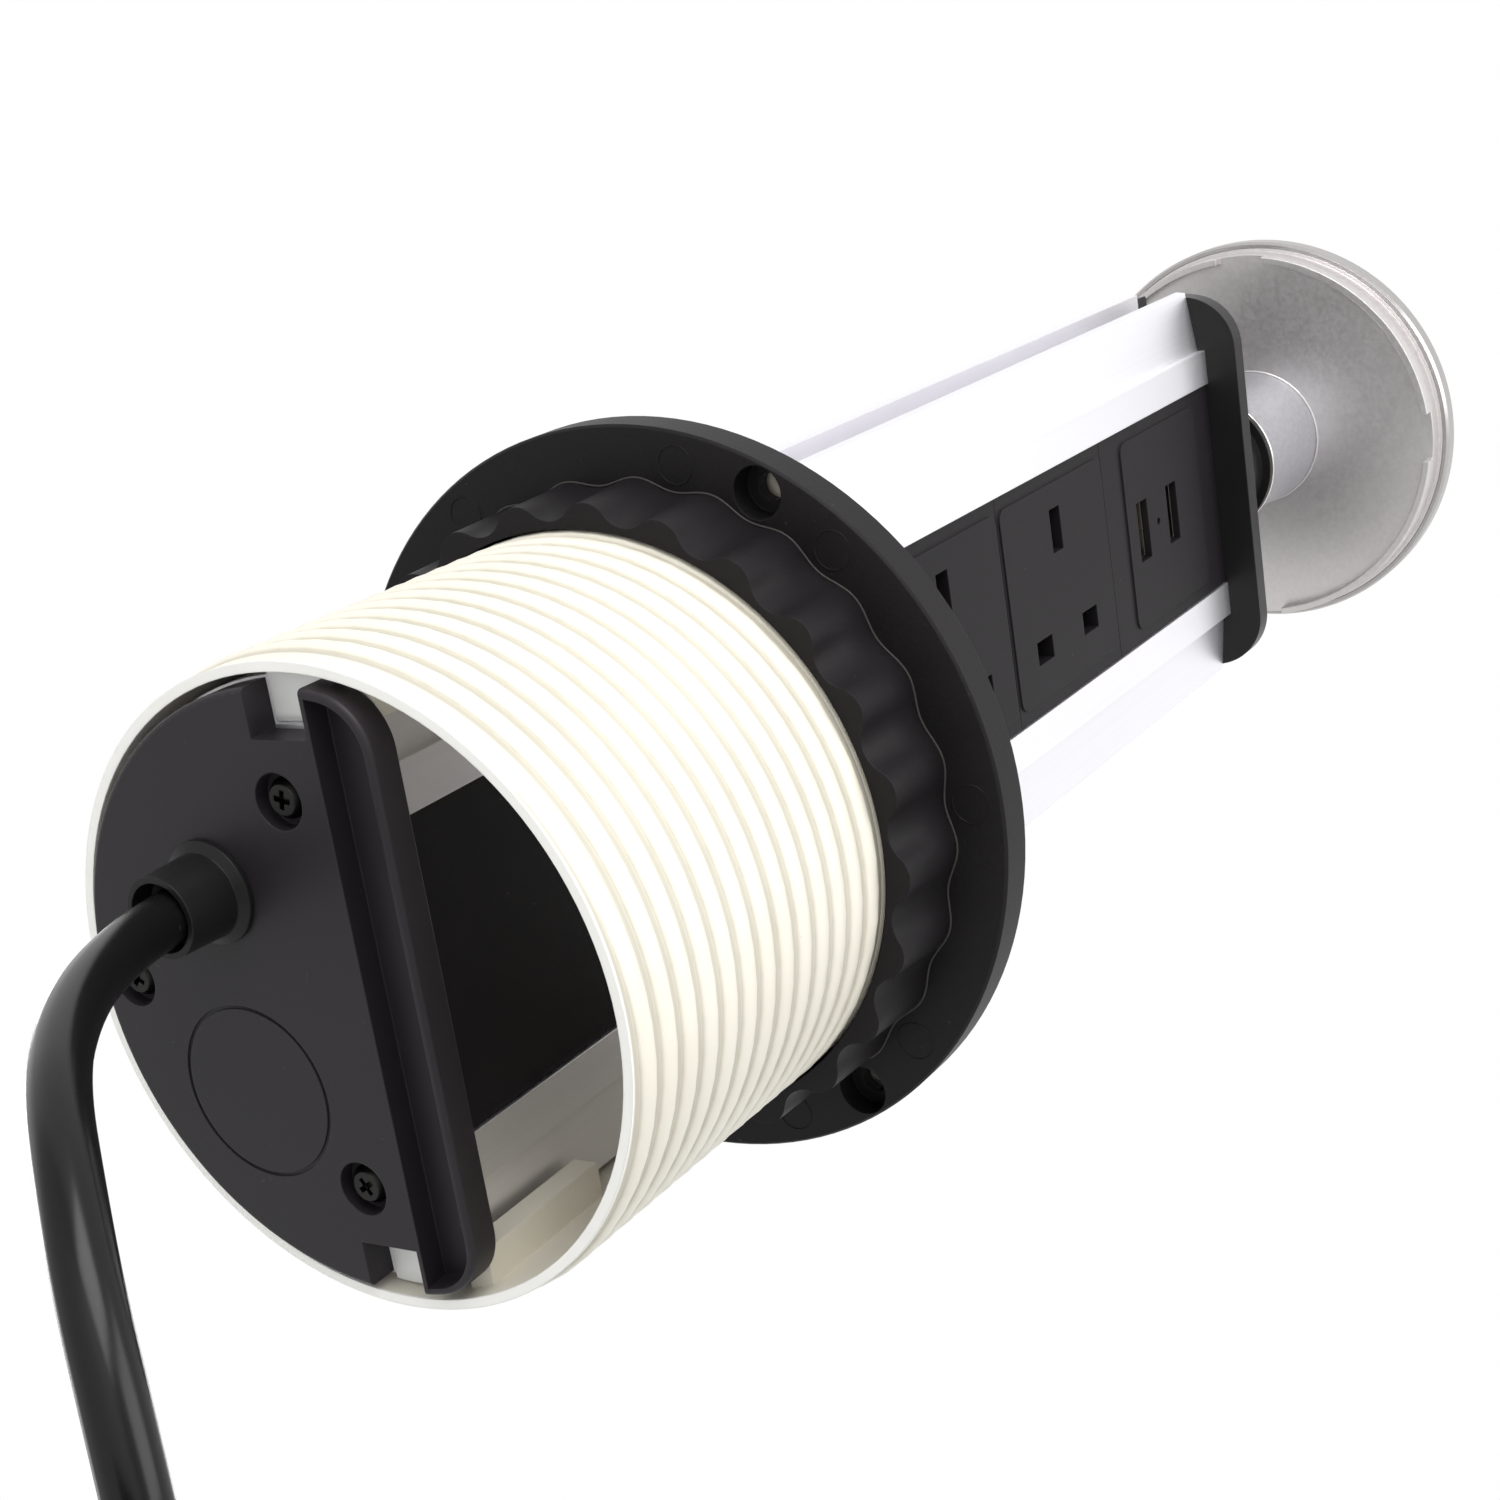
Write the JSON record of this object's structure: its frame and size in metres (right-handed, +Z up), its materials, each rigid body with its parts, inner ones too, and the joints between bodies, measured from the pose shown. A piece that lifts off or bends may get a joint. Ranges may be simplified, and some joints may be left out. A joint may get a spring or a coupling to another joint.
{
  "type": "pop up desk socket",
  "caption": "Round power tower that slides up through a clamped sleeve in a worktop, with British socket outlets, USB ports, a lid to lift it by and a mains lead.",
  "frame": {"origin": "on the sleeve's axis at the worktop's upper face, under the flange's gasket", "axes": "+Z up along the sleeve and tower towards the lid, -Y out of the face with the sockets, +X towards the live and neutral slots"},
  "size_m": [0.1544, 0.1564, 0.6655],
  "materials": {
    "bar_tray": "matt moulding",
    "blank_plate": "fine matt moulding",
    "clamp_nut": "fine matt moulding",
    "clamp_ring": "fine matt moulding",
    "coil_tie": "flexible strap",
    "cord_coil": "satin cord jacket",
    "cord_gland": "satin moulding",
    "cord_lead": "satin cord jacket",
    "cord_tail": "satin cord jacket",
    "earth_bar": "pressed strip",
    "end_cap": "fine matt moulding",
    "end_cap_screws": "blackened",
    "felt_strips": "dark felt",
    "fuse_carrier": "gloss moulding",
    "gland_nut": "satin moulding",
    "lid_base": "satin painted",
    "lid_bolt": "plated",
    "lid_cover": "satin anodised",
    "lid_stem": "satin anodised",
    "live_bar": "pressed strip",
    "neck": "fine matt moulding",
    "neutral_bar": "pressed strip",
    "plug_base": "satin moulding",
    "plug_cover": "satin moulding",
    "plug_grip": "soft moulding",
    "plug_pins": "bright",
    "shutter_a": "matt moulding",
    "shutter_b": "matt moulding",
    "shutter_c": "matt moulding",
    "shutter_spring_a": "drawn wire",
    "shutter_spring_b": "drawn wire",
    "shutter_spring_c": "drawn wire",
    "side_glides": "smooth nylon",
    "sleeve": "smooth ivory moulding",
    "socket_a": "fine matt moulding",
    "socket_b": "fine matt moulding",
    "socket_c": "fine matt moulding",
    "top_plate": "fine matt moulding",
    "top_plate_screws": "blackened",
    "tower_body": "satin anodised",
    "trim_ring": "satin anodised",
    "usb_board": "lacquered board",
    "usb_module": "fine matt moulding",
    "usb_shells": "nickel plated",
    "usb_tongues": "matt moulding",
    "worktop_gasket": "matt foam"
  },
  "bodies": {
    "sleeve": {"sleeve": "sleeve", "worktop_gasket": "worktop_gasket", "trim_ring": "trim_ring", "felt_strips": "felt_strips"},
    "tower": {"tower_body": "tower_body", "blank_plate": "blank_plate", "socket_a": "socket_a", "socket_b": "socket_b", "socket_c": "socket_c", "usb_module": "usb_module", "usb_shells": "usb_shells", "usb_tongues": "usb_tongues", "usb_board": "usb_board", "shutter_spring_a": "shutter_spring_a", "shutter_spring_b": "shutter_spring_b", "shutter_spring_c": "shutter_spring_c", "earth_bar": "earth_bar", "live_bar": "live_bar", "neutral_bar": "neutral_bar", "bar_tray": "bar_tray", "side_glides": "side_glides", "end_cap": "end_cap", "end_cap_screws": "end_cap_screws", "top_plate": "top_plate", "top_plate_screws": "top_plate_screws", "neck": "neck", "lid_stem": "lid_stem", "lid_base": "lid_base", "lid_cover": "lid_cover", "lid_bolt": "lid_bolt", "cord_gland": "cord_gland", "gland_nut": "gland_nut", "cord_lead": "cord_lead", "cord_coil": "cord_coil", "cord_tail": "cord_tail", "coil_tie": "coil_tie", "plug_cover": "plug_cover", "plug_base": "plug_base", "plug_pins": "plug_pins", "plug_grip": "plug_grip"},
    "clamp_ring": {"clamp_ring": "clamp_ring"},
    "clamp_nut": {"clamp_nut": "clamp_nut"},
    "shutter_a": {"shutter_a": "shutter_a"},
    "shutter_b": {"shutter_b": "shutter_b"},
    "shutter_c": {"shutter_c": "shutter_c"},
    "fuse_carrier": {"fuse_carrier": "fuse_carrier"}
  },
  "joints": [
    {"name": "tower_slide", "type": "slide", "parent": "sleeve", "child": "tower", "axis": [0, 0, 1], "range_m": [-0.2665, 0]},
    {"name": "ring_lift", "type": "slide", "parent": "sleeve", "child": "clamp_ring", "axis": [0, 0, 1], "range_m": [-0.055, 0]},
    {"name": "nut_turn", "type": "hinge", "parent": "clamp_ring", "child": "clamp_nut", "pos_m": [0, 0, 0], "axis": [0, 0, 1], "range_deg": [-3961, 0]},
    {"name": "shutter_a_slide", "type": "slide", "parent": "tower", "child": "shutter_a", "axis": [1, 0, 0], "range_m": [0, 0.0052], "stiffness_N_per_m": 300, "springref_m": -0.004, "deforming": ["shutter_spring_a"]},
    {"name": "shutter_b_slide", "type": "slide", "parent": "tower", "child": "shutter_b", "axis": [1, 0, 0], "range_m": [0, 0.0052], "stiffness_N_per_m": 300, "springref_m": -0.004, "deforming": ["shutter_spring_b"]},
    {"name": "shutter_c_slide", "type": "slide", "parent": "tower", "child": "shutter_c", "axis": [1, 0, 0], "range_m": [0, 0.0052], "stiffness_N_per_m": 300, "springref_m": -0.004, "deforming": ["shutter_spring_c"]},
    {"name": "fuse_carrier_pull", "type": "slide", "parent": "tower", "child": "fuse_carrier", "axis": [0, 1, 0], "range_m": [0, 0.012]}
  ],
  "couplings": [
    {"joint": "nut_turn", "follows": "ring_lift", "rad_per_m": 1256.6}
  ]
}
